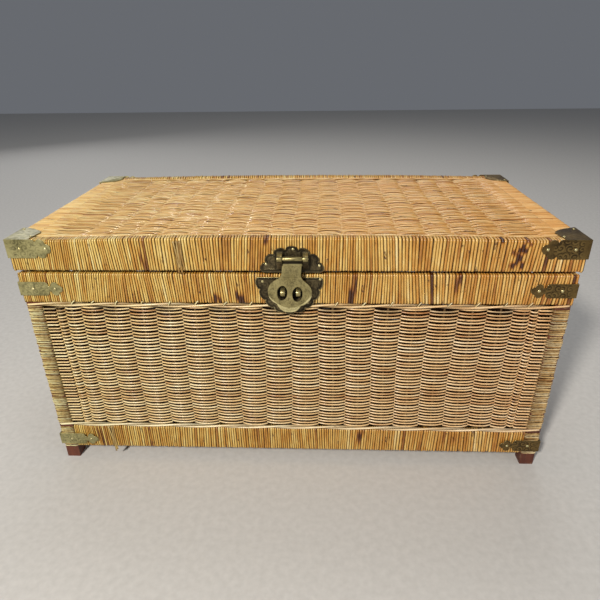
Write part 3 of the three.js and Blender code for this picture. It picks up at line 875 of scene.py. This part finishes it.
def wale(name, z, seed):
    """Two long strands twisted round the trunk between a woven wall and a rail."""
    rng = generator(seed)
    face = SIDES[0].span("woven_wall_front")[1][1]
    side_face = SIDES[3].span("woven_wall_right")[1][1]
    points, outward, s, total = ring_path(side_face + 0.2, face + 0.2, 5, 5.5)
    turns = round(total / WALE_TURN)
    swing = WALE_HEIGHT / 2 - WALE_STRAND + 0.5
    thick = WALE_STRAND * 0.95
    bundle = Bundle(name)
    for k in range(2):
        phase = 2 * np.pi * (turns * s / total + k / 2)
        path = points + outward * (1.6 * np.cos(phase) - 0.9)[:, None]
        path[:, 2] = z + swing * np.sin(phase) + 0.4 * np.sin(s / 71 + k)
        # Painted shade where a strand turns back into the rope.
        hidden = 0.35 * (1 - np.cos(phase))
        tone = 0.2 + 0.06 * rng.normal()
        bundle.add(path, WALE_STRAND, thick, UP, tone, closed=True, recess=hidden)
    bundle.finish(REED_WALL, BODY, "woven_reed")


def lid_border(name, y, half, top, seed):
    """Three thin twisted strands along the edge of the lid's weave."""
    rng = generator(seed)
    u = np.linspace(-half, half, 150)
    bundle = Bundle(name)
    for k in range(3):
        phase = 2 * np.pi * (u / BORDER_TURN + k / 3)
        z = top - 1.9 + 0.9 * np.cos(phase) + WEAVE_CROWN * crown(u)
        path = np.column_stack([u, y + 2.3 * np.sin(phase), z])
        bundle.add(path, BORDER_STRAND, 1.6, BACK, 0.2 + 0.05 * rng.normal())
    bundle.finish(REED_LID, LID, "woven_reed")


# The lid


def lid_rows():
    """The places of the lid's weavers from front to back."""
    low, high = box_mm("lid_woven_top")
    front = box_mm("lid_rail_front")[0][1]
    rear = box_mm("lid_rail_rear")[1][1]
    start = front + FRONT_COVER + 8
    end = rear - FRONT_COVER - 8
    count = int((end - start) / ROW_PITCH)
    return np.linspace(start, end, count), low, high


def weave_lid(seed):
    rng = generator(seed)
    rows, _, high = lid_rows()
    half = box_mm("lid_rail_right")[1][0]
    flat = half - LID_END_COVER
    centre = high[2] - LID_PROUD - LID_WEAVER - LID_REACH
    stakes = [-s for s in reversed(LID_HALF_STAKES)] + list(LID_HALF_STAKES)
    inner = [s for s in stakes if abs(s) < flat + 1]
    tones = strand_tones(rng, len(rows), 0.34, 0.05, 0.03)
    parts = np.array_split(np.arange(len(rows)), 3)
    for part, name in zip(parts, ("lid_weave_front", "lid_weave_middle", "lid_weave_rear")):
        bundle = Bundle(name)
        for row in part:
            lid_weaver(bundle, rows[row], inner, flat, centre, row, tones[row], rng)
            lid_shade_strand(bundle, rows[row], flat, centre, tones[row])
        made = bundle.finish(REED_LID, LID, "woven_reed")
        if name == "lid_weave_middle":
            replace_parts(made, "lid_woven_top")
    lid_stakes(inner, rows, centre, seed)
    return tones


def lid_weaver(bundle, y, stakes, flat, centre, row, tone, rng):
    parity = 1 if row % 2 else -1
    stations = [(-flat - 14, 1), (-flat - 2, 1)]
    sign = parity
    for stake in stakes[1:-1]:
        stations.append((stake, sign * rng.uniform(0.8, 1.1)))
        sign = -sign
    stations += [(flat + 2, 1), (flat + 14, 1)]
    u = sample_places(stations)
    sway = 1.5 * np.sin(y / 47 + 0.01 * u)
    upward = row_profile(stations, 1)(u - sway)
    to_rail = LID_PROUD * smooth_step(np.abs(u), flat - 30, flat)
    wander = 0.25 * np.sin(u / 31 + 2.1 * row) + 0.2 * np.sin(u / 13 + 4.7 * row)
    z = centre + LID_REACH * upward + to_rail + wander + WEAVE_CROWN * crown(u) + rng.normal(0, 0.15)
    shift = 0.45 * np.sin(u / 23 + row * 1.3) + 0.9 * np.sin(u / 130 + y / 50)
    shift += 0.7 * np.sin(u / 41 + y / 17)
    radius = LID_WEAVER * rng.uniform(0.9, 1.08)
    path = np.column_stack([u, y + shift, z])
    tone_here = tone + 0.07 * np.sin(u / 80 + row)
    # Painted shade where the weaver dips down into the weave.
    deep = [0.8 * np.clip((0.2 - forward) / 1.2, 0, 1) for forward in (upward, -upward)]
    bundle.add(path, radius, radius, BACK, tone_here, recess=tuple(deep))


def lid_shade_strand(bundle, y, flat, centre, tone):
    x = np.linspace(-flat, flat, 40)
    path = np.column_stack([x, np.full(40, y), centre - 0.6 + WEAVE_CROWN * crown(x)])
    # A dark strand under the lid's weave, painted mostly as shade.
    bundle.add(path, SHADE_STRAND, SHADE_STRAND, BACK, tone + 0.1, recess=0.85)


def lid_stakes(stakes, rows, centre, seed):
    rng = generator(seed + 50)
    bundle = Bundle("lid_stakes")
    y = np.linspace(rows[0] - 6, rows[-1] + 6, 14)
    for x in stakes[1:-1]:
        path = np.column_stack([x + 1.5 * np.sin(y / 47 + 0.01 * x), y, np.full(len(y), centre - 1.8)])
        path[:, 2] += WEAVE_CROWN * crown(x)
        # The lid's stakes are painted half in shade.
        bundle.add(path, STAKE, STAKE, np.array([1.0, 0, 0]), rng.uniform(0.2, 0.45), recess=0.5)
    bundle.finish(REED_STAKE, LID, "woven_reed")


def cover_lid_end(side, tones, seed):
    """Weavers that run flat over the lid's end rail, down its face and round underneath."""
    rng = generator(seed)
    node = "lid_rail_" + side.name
    low, high = side.span(node)
    rows = lid_rows()[0]
    step = rows[1] - rows[0]
    places = list(rows)
    tones = list(tones)
    while places[0] - step > box_mm(node)[0][1] + 1:
        places.insert(0, places[0] - step)
        tones.insert(0, 0.4 + 0.1 * rng.normal())
    while places[-1] + step < box_mm(node)[1][1] - 1:
        places.append(places[-1] + step)
        tones.append(0.4 + 0.1 * rng.normal())
    bundle = Bundle("lid_end_" + side.name, packed=True)
    for y, tone in zip(places, tones):
        u = (y - MIDDLE[1]) * side.along[1]
        room = high[0] - abs(u)
        cover = min(LID_END_COVER, room) if room < FRONT_COVER + 6 else LID_END_COVER
        path = end_path(side, u, cover, low, high, END_STRAND - 0.15 + rng.uniform(0, 0.5))
        bundle.add(path, END_STRAND, END_STRAND, BACK, tone + rng.normal(0, 0.07))
    made = bundle.finish(REED_LID, LID, "woven_reed")
    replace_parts(made, node)
    rail_core(node, side)


def end_path(side, u, cover, low, high, inset):
    """The way of one weaver over the lid's end at u, from the lid's top to the rail's inner face."""
    outer = high[1] - inset
    top = high[2] - inset
    bottom = low[2] + inset + SEAM
    bend = outer - END_BEND
    start = outer - max(cover, 2 * END_BEND)
    inner = max(low[1] + inset, outer - max(cover, 2 * END_BEND + 1))
    turns = [(math.sin(a), math.cos(a)) for a in np.linspace(0, math.pi / 2, 4)]
    flat = np.linspace(start, bend, 5)[:-1]
    profile = [(n, top - sink) for n, sink in zip(flat, (1.6, 0.6, 0.1, 0.0))]
    profile += [(bend + END_BEND * x, top - END_BEND + END_BEND * y) for x, y in turns]
    profile += [(outer, z) for z in np.linspace(top - END_BEND, bottom + END_BEND, 5)[1:-1]]
    profile += [(bend + END_BEND * y, bottom + END_BEND - END_BEND * x) for x, y in turns]
    profile += [(inner + 1, bottom + 0.4), (inner, bottom + 4), (inner, top - 8)]
    profile = np.array(profile)
    sway = 0.4 * np.sin(np.arange(len(profile)) + u)
    return side.points(u + sway, profile[:, 0], profile[:, 1])


# Brass


def plate_faces(build, centre):
    """Flat stretches of a pressed piece's outer faces: lists of coplanar upright faces."""
    groups = []
    for face in build.faces:
        normal = face.normal
        axis = 0 if abs(normal.x) > abs(normal.y) else 1
        if abs(normal[axis]) < 0.9 or normal[axis] * centre[axis] <= 0:
            continue
        for group in groups:
            first = group[0]
            level = abs((face.verts[0].co - first.verts[0].co) @ first.normal)
            if first.normal @ normal > 0.9995 and level < 0.05 * MM:
                group.append(face)
                break
        else:
            groups.append([face])
    return [group for group in groups if sum(face.calc_area() for face in group) > 250 * MM**2]


def outline_edges(group):
    """The edges round a group of faces."""
    faces = set(group)
    edges = dict.fromkeys(edge for face in group for edge in face.edges)
    return [edge for edge in edges if sum(face in faces for face in edge.link_faces) == 1]


def segment_distance(points, starts, ends):
    """Distance of each 2D point from the nearest of the segments."""
    along = ends - starts
    squared = np.maximum((along**2).sum(1), 1e-12)
    nearest = np.full(len(points), np.inf)
    for start, step, size in zip(starts, along, squared):
        share = np.clip((points - start) @ step / size, 0, 1)
        gap = np.linalg.norm(points - start - share[:, None] * step, axis=1)
        nearest = np.minimum(nearest, gap)
    return nearest


def scrolls(points, seed, cell, pitch):
    """Curling ridges between -1 and 1: a spiral round each of many scattered centres."""
    rng = generator(seed)
    low = points.min(0) - cell
    counts = np.ceil((points.max(0) + cell - low) / cell).astype(int)
    grid = np.stack(np.meshgrid(*[np.arange(n) for n in counts], indexing="ij"), -1).reshape(-1, 2)
    centres = low + cell * (grid + rng.uniform(0.15, 0.85, grid.shape))
    hands = rng.choice([-1, 1], len(centres))
    gaps = np.linalg.norm(points[:, None] - centres[None], axis=2)
    order = np.argsort(gaps, axis=1)[:, :2]
    near, next_near = np.take_along_axis(gaps, order, 1).T
    away = points - centres[order[:, 0]]
    turn = np.arctan2(away[:, 1], away[:, 0]) * hands[order[:, 0]]
    ridges = np.cos(2 * np.pi * near / pitch + turn)
    return ridges * smooth_step(next_near - near, 0, 1.2)


def pressed_height(node, points, edge_gap, seed):
    """Height in millimetres of the pressed pattern on a plate's face, and its -1 to 1 relief colour,
    lower still where a painted shadow of the hasp falls.
    """
    if node in ("catch_plate", "lid_hasp_plate"):
        moulding = smooth_step(edge_gap, 1.0, 2.2) - smooth_step(edge_gap, 3.2, 5.0)
        pattern = scrolls(points, seed, 12, 5.0) * smooth_step(edge_gap, 4, 5.5)
        disc = [(HASP_LOW[0] + HASP_HIGH[0]) / 2, HASP_LOW[2] + HASP_DISC]
        # Painted shadow of the hasp on the plate round its disc.
        shaded = 2 * (np.linalg.norm(points - disc, axis=1) < HASP_SHADE)
        return 0.18 * pattern - 0.5 * moulding, 0.6 * pattern - 1.0 * moulding - shaded
    if node == "hasp":
        grains = generator(seed).uniform(-1, 1, len(points))
        pattern = (0.5 * scrolls(points, seed, 7, 3.0) + 0.7 * grains) * smooth_step(edge_gap, 2, 3)
        rim = smooth_step(edge_gap, 0.8, 1.6) * (1 - smooth_step(edge_gap, 2.0, 2.8))
        return 0.1 * pattern + 0.15 * rim, 0.8 * pattern + 0.5 * rim
    leg = points[:, 0]
    along = np.abs(leg - leg[np.argmax(np.abs(leg))])
    figured = smooth_step(along, 9, 12) * (1 - smooth_step(along, 52, 56))
    pattern = scrolls(points, seed, 11, 5.0) * smooth_step(edge_gap, 2.0, 3.2) * figured
    frame_line = figured * smooth_step(edge_gap, 1.0, 1.6) * (1 - smooth_step(edge_gap, 1.8, 2.6))
    wear = 1.0 if "right" in node else 0.55
    return wear * (0.28 * pattern - 0.15 * frame_line), wear * (pattern - 0.6 * frame_line)


def divide_outline(build, group):
    """Divide the long edges round a group of faces. Gives the group's faces and their outline."""
    faces = set(group)
    for edge in outline_edges(group):
        cuts = int(edge.calc_length() / (1.6 * MM))
        if cuts:
            bmesh.ops.subdivide_edges(build, edges=[edge], cuts=cuts)
    group = [face for face in build.faces if face in faces]
    return group, outline_edges(group)


def net_spots(flat, starts, ends, seed):
    """Points spread evenly inside a face's outline, each a little off its place in a square grid."""
    ranges = [np.arange(low, high, NET_SPACING) for low, high in zip(flat.min(0), flat.max(0))]
    spots = np.stack(np.meshgrid(*ranges), -1).reshape(-1, 2)
    spots = spots + generator(seed).uniform(-0.2, 0.2, spots.shape) * NET_SPACING
    return spots[segment_distance(spots, starts, ends) > 0.45]


def raised_vert(build, point, rise, normal, axis, origin):
    """A new vertex above a 2D point of the upright plane through origin."""
    spot = Vector((0, 0, point[1] * MM))
    spot[1 - axis] = point[0] * MM
    spot[axis] = (origin @ normal - spot @ normal) / normal[axis]
    return build.verts.new(spot + normal * rise * MM)


def emboss(build, node, group, layer, seed):
    """Replace a flat face by a fine net of triangles raised into the pressed pattern."""
    normal = group[0].normal.copy()
    axis = 0 if abs(normal.x) > abs(normal.y) else 1
    group, outline = divide_outline(build, group)
    corners = list(dict.fromkeys(vert for face in group for vert in face.verts))
    index = {vert: i for i, vert in enumerate(corners)}
    flat = np.array([[vert.co[1 - axis], vert.co.z] for vert in corners]) / MM
    starts, ends = [np.array([flat[index[edge.verts[k]]] for edge in outline]) for k in (0, 1)]
    spots = net_spots(flat, starts, ends, seed)
    loops = [[index[vert] for vert in face.verts] for face in group]
    everything = [Vector(point) for point in np.concatenate([flat, spots])]
    places, _, triangles, sources, _, origins = delaunay_2d_cdt(everything, [], loops, 1, 1e-5)
    points = np.array(places)
    height, shade = pressed_height(node, points, segment_distance(points, starts, ends), seed)
    verts = []
    for point, rise, known in zip(points, height, sources):
        known = [i for i in known if i < len(corners)]
        if known:
            verts.append(corners[known[0]])
        else:
            verts.append(raised_vert(build, point, rise, normal, axis, corners[0].co))
    for vert, value in zip(verts, shade):
        vert[layer] = float(value)
    bmesh.ops.delete(build, geom=group, context="FACES_ONLY")
    for triangle, origin in zip(triangles, origins):
        if not origin:
            continue  # it fills a hole
        face = build.faces.new([verts[i] for i in triangle])
        face.normal_update()
        if face.normal @ normal < 0:
            face.normal_flip()


def pressed_mesh(node):
    """A brass CAD node's mesh, its split corners joined and its outer faces embossed, and on the hasp a
    painted shadow under its rolled eye.
    """
    mesh = frame["nodes"][node].data.copy()
    mesh.name = "brass_" + node
    mesh.materials.clear()
    build = bmesh.new()
    build.from_mesh(mesh)
    bmesh.ops.remove_doubles(build, verts=build.verts, dist=0.00001)
    bmesh.ops.dissolve_limit(build, angle_limit=math.radians(1), verts=build.verts, edges=build.edges)
    layer = build.verts.layers.float.new("relief")
    low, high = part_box(node)
    for i, group in enumerate(plate_faces(build, (low + high) / 2)):
        emboss(build, node, group, layer, 200 + i)
    if node == "hasp":
        # Painted shadow on the hasp's neck under its rolled eye.
        for vert in build.verts:
            if NECK_SHADOW[0] < vert.co.z / MM - PIN_UNDERSIDE < NECK_SHADOW[1]:
                vert[layer] = -2.2
    build.to_mesh(mesh)
    build.free()
    return mesh


def brass_piece(node, material):
    """A brass CAD node with its outer faces embossed and its sheet edges rounded and worn bright."""
    mesh = pressed_mesh(node)
    piece = place(mesh, material, frame["nodes"][node]["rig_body"], "aged_brass")
    mesh.materials.append(BRASS_BRIGHT)
    bevel = piece.modifiers.new("edges", "BEVEL")
    bevel.width = SHEET_EDGE * MM
    bevel.segments = 2
    bevel.limit_method = "ANGLE"
    bevel.angle_limit = math.radians(50)
    bevel.material = 1
    bevel.use_clamp_overlap = True
    bpy.context.view_layer.update()
    evaluated = piece.evaluated_get(bpy.context.evaluated_depsgraph_get())
    shaped = bpy.data.meshes.new_from_object(evaluated)
    shaped.name = mesh.name + "_shaped"
    piece.modifiers.clear()
    piece.data = shaped
    shaped.polygons.foreach_set("use_smooth", [True] * len(shaped.polygons))
    shaped.set_sharp_from_angle(angle=math.radians(40))
    if node == "hasp":
        polish_tongue(shaped)
    if node == "lid_hasp_plate":
        polish_ears(shaped, plate_level(node) - 1)
    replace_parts(piece, node)


def polish_tongue(mesh):
    """The hasp's tongue below its disc, worn bright by fingers."""
    for face in mesh.polygons:
        across = face.center.x / MM - (HASP_LOW[0] + HASP_HIGH[0]) / 2
        edge = HASP_LOW[2] + TONGUE_HEIGHT - 6 + 6 * (across / TONGUE_HALF) ** 2
        if face.center.z / MM < edge and face.normal.y < -0.3:
            face.material_index = 1


def polish_ears(mesh, level):
    """The two ears that hold the pin, in front of the plate's face, are as bright as the hasp."""
    mesh.materials.append(BRASS_HASP)
    for face in mesh.polygons:
        if face.center.y / MM < level and face.center.z / MM > PIN_UNDERSIDE - 4:
            face.material_index = 2


def brass_for(node):
    if node == "hasp_pin":
        return BRASS_BRIGHT
    if node == "hasp" or node.startswith("staple"):
        return BRASS_HASP
    if node in ("catch_plate", "lid_hasp_plate"):
        return BRASS_PLATE
    # The right-hand corners take the copy of the brass darkened as painted shade.
    if "right" in node:
        return BRASS_SHADED
    return BRASS


def add_brass():
    """What is neither replaced yet nor bare wood is brass."""
    for node in sorted(frame["nodes"]):
        if frame["nodes"][node].hide_render or node.startswith(("post", "floor", "lid_rib")):
            continue
        brass_piece(node, brass_for(node))


def dome(build, centre, outward, radius, height, steps=5, around=16):
    """A nail's domed head on a face."""
    outward = Vector(outward)
    side = outward.orthogonal().normalized()
    other = outward.cross(side)
    rings = []
    for k in range(steps):
        climb = k / (steps - 1) * 0.94 * math.pi / 2
        middle = centre + outward * height * math.sin(climb)
        reach = radius * math.cos(climb)
        turns = [2 * math.pi * j / around for j in range(around)]
        spokes = [side * math.cos(a) + other * math.sin(a) for a in turns]
        rings.append([build.verts.new(middle + spoke * reach) for spoke in spokes])
    for lower, upper in zip(rings, rings[1:]):
        for j in range(around):
            k = (j + 1) % around
            build.faces.new((lower[j], lower[k], upper[k], upper[j]))
    build.faces.new(rings[-1])
    build.faces.new(list(reversed(rings[0])))


def nails(name, places, body):
    """Nails, each a place, its outward direction and its radius, all in millimetres."""
    build = bmesh.new()
    for centre, outward, radius in places:
        dome(build, Vector(centre) * MM, outward, radius * MM, radius * 0.5 * MM)
    bmesh.ops.recalc_face_normals(build, faces=build.faces)
    mesh = bpy.data.meshes.new(name)
    build.to_mesh(mesh)
    build.free()
    mesh.polygons.foreach_set("use_smooth", [True] * len(mesh.polygons))
    place(mesh, BRASS_BRIGHT, body, "aged_brass")


def strap_nails(node, corner, distances):
    """Two nails in each leg of a corner strap, and two in a lid corner's top leaf."""
    low, high = box_mm(node)
    sign_x = -1 if "left" in corner else 1
    sign_y = -1 if "front" in corner else 1
    x = low[0] if sign_x < 0 else high[0]
    y = low[1] if sign_y < 0 else high[1]
    z = (low[2] + high[2]) / 2
    places = []
    for along in distances:
        places.append(((x - sign_x * along, y, z), (0, sign_y, 0), NAIL))
        places.append(((x, y - sign_y * along, z), (sign_x, 0, 0), NAIL))
    if node.startswith("lid_corner"):
        for right, back in LEAF_NAILS:
            places.append(((x - sign_x * right, y - sign_y * back, high[2]), (0, 0, 1), SMALL_NAIL))
    return places


def add_nails():
    for prefix, distances in STRAP_NAILS.items():
        places = []
        for corner in CORNERS:
            places += strap_nails(f"{prefix}_{corner}", corner, distances)
        nails("nails_" + prefix, places, LID if prefix == "lid_corner" else BODY)
    for node, spots in PLATE_NAILS.items():
        low, high = box_mm(node)
        middle = (low[0] + high[0]) / 2
        level = plate_level(node)
        places = [((middle + x, level, low[2] + z), (0, -1, 0), SMALL_NAIL) for x, z in spots]
        nails("nails_" + node, places, frame["nodes"][node]["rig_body"])


def plate_level(node):
    """y of a front plate's face, which is its largest one that looks forwards."""
    mesh = frame["nodes"][node].data
    areas = {}
    for face in mesh.polygons:
        if face.normal.y < -0.99:
            level = round(mesh.vertices[face.vertices[0]].co.y / MM, 1)
            areas[level] = areas.get(level, 0) + face.area
    return max(areas, key=areas.get)


# Camera, light and floor


def add_camera():
    camera = add_object("camera", bpy.data.cameras.new("camera"))
    ahead = Vector((
        -math.sin(CAMERA_YAW) * math.cos(CAMERA_PITCH),
        math.cos(CAMERA_YAW) * math.cos(CAMERA_PITCH),
        -math.sin(CAMERA_PITCH),
    ))
    right = Vector((math.cos(CAMERA_YAW), math.sin(CAMERA_YAW), 0))
    up = right.cross(ahead)
    turned_right = math.cos(CAMERA_ROLL) * right - math.sin(CAMERA_ROLL) * up
    turned_up = math.sin(CAMERA_ROLL) * right + math.cos(CAMERA_ROLL) * up
    turn = Matrix((turned_right, turned_up, -ahead)).transposed()
    camera.matrix_world = Matrix.Translation(CAMERA_PLACE) @ turn.to_4x4()
    camera.data.lens = CAMERA_LENS
    camera.data.sensor_width = 36
    bpy.context.scene.camera = camera


def add_light(name, position, target, size, power, tint):
    lamp = bpy.data.lights.new(name, "AREA")
    lamp.shape = "DISK"
    lamp.size = size
    lamp.energy = power
    lamp.color = tint
    light = add_object(name, lamp)
    light.location = position
    light.rotation_euler = (Vector(target) - Vector(position)).to_track_quat("-Z", "Y").to_euler()


def add_floor():
    shader = Shader("pale_floor")
    grain = shader.noise(shader.place(), scale=90, detail=4)
    shader.set(Base_Color=shader.ramp(grain, [(0.3, "bab8b4"), (0.7, "c4c2be")]), Roughness=0.85)
    shader.set(Normal=shader.bump(grain, 0.0004, 0.4))
    mesh = bpy.data.meshes.new("floor")
    signs = ((-1, -1), (1, -1), (1, 1), (-1, 1))
    mesh.from_pydata([(x * FLOOR_REACH, y * FLOOR_REACH, 0) for x, y in signs], [], [(0, 1, 2, 3)])
    mesh.materials.append(shader.material)
    add_object("floor", mesh)


def add_surroundings():
    world = bpy.data.worlds.new("studio")
    bpy.context.scene.world = world
    world.use_nodes = True
    background = world.node_tree.nodes["Background"]
    background.inputs["Color"].default_value = (0.85, 0.9, 1.0, 1)
    background.inputs["Strength"].default_value = 0.16
    for name, settings in LIGHTS.items():
        add_light(name, *settings)
    bpy.context.scene.view_settings.view_transform = "Standard"


def paint_wood():
    """Posts show below the rails as stained feet; the floor and cross bars are bare wood."""
    for node, piece in frame["nodes"].items():
        if node.startswith("post"):
            paint(piece, FOOT_WOOD)
        elif node == "floor_board":
            paint(piece, BOARD_WOOD)
        elif node.startswith(("floor_bearer", "lid_rib")):
            paint(piece, BAR_WOOD)


def paint(piece, material):
    piece.data.materials.clear()
    piece.data.materials.append(material)


def wrap_rails(side, i):
    """The top and bottom rails of a side, and its lid rail where that is wound with reed too."""
    kinds = [("top_rail", 20, 4, BAND_PITCH), ("bottom_rail", 30, 2, FOOT_PITCH)]
    if side.name in ("front", "rear"):
        kinds.append(("lid_rail", 40, 3, LID_PITCH))
    for kind, seed, lean, pitch in kinds:
        node = f"{kind}_{side.name}"
        wrap_rail(side, node, "wraps_" + node, seed + i, RAIL_TONE, lean, pitch)


def add_lid():
    tones = weave_lid(80)
    for i, side in enumerate(SIDES[2:]):
        cover_lid_end(side, tones, 90 + i)
    rows, _, lid_top = lid_rows()
    half = box_mm("lid_rail_right")[1][0] - LID_END_COVER / 2
    lid_border("lid_border_front", rows[0] - 4, half, lid_top[2] - 0.6, 95)
    lid_border("lid_border_rear", rows[-1] + 4, half, lid_top[2] - 0.6, 96)


def build():
    add_camera()
    add_surroundings()
    add_floor()
    for i, side in enumerate(SIDES):
        weave_wall(side, 10 + i, FRONT_STAKE_GAPS if i < 2 else SIDE_STAKE_GAPS)
        wrap_rails(side, i)
    loose_wraps("loose_lid_wraps", "lid_rail_front", LID, LOOSE_ON_LID, 50)
    loose_wraps("loose_foot_wraps", "bottom_rail_front", BODY, LOOSE_ON_FOOT, 51)
    for i, corner in enumerate(CORNERS):
        wrap_post(corner, 60 + i)
    wall_low, wall_high = box_mm("woven_wall_front")
    wale("wale_lower", wall_low[2] + WALE_HEIGHT / 2, 70)
    wale("wale_upper", wall_high[2] - WALE_HEIGHT / 2, 71)
    add_lid()
    paint_wood()
    add_brass()
    add_nails()


build()
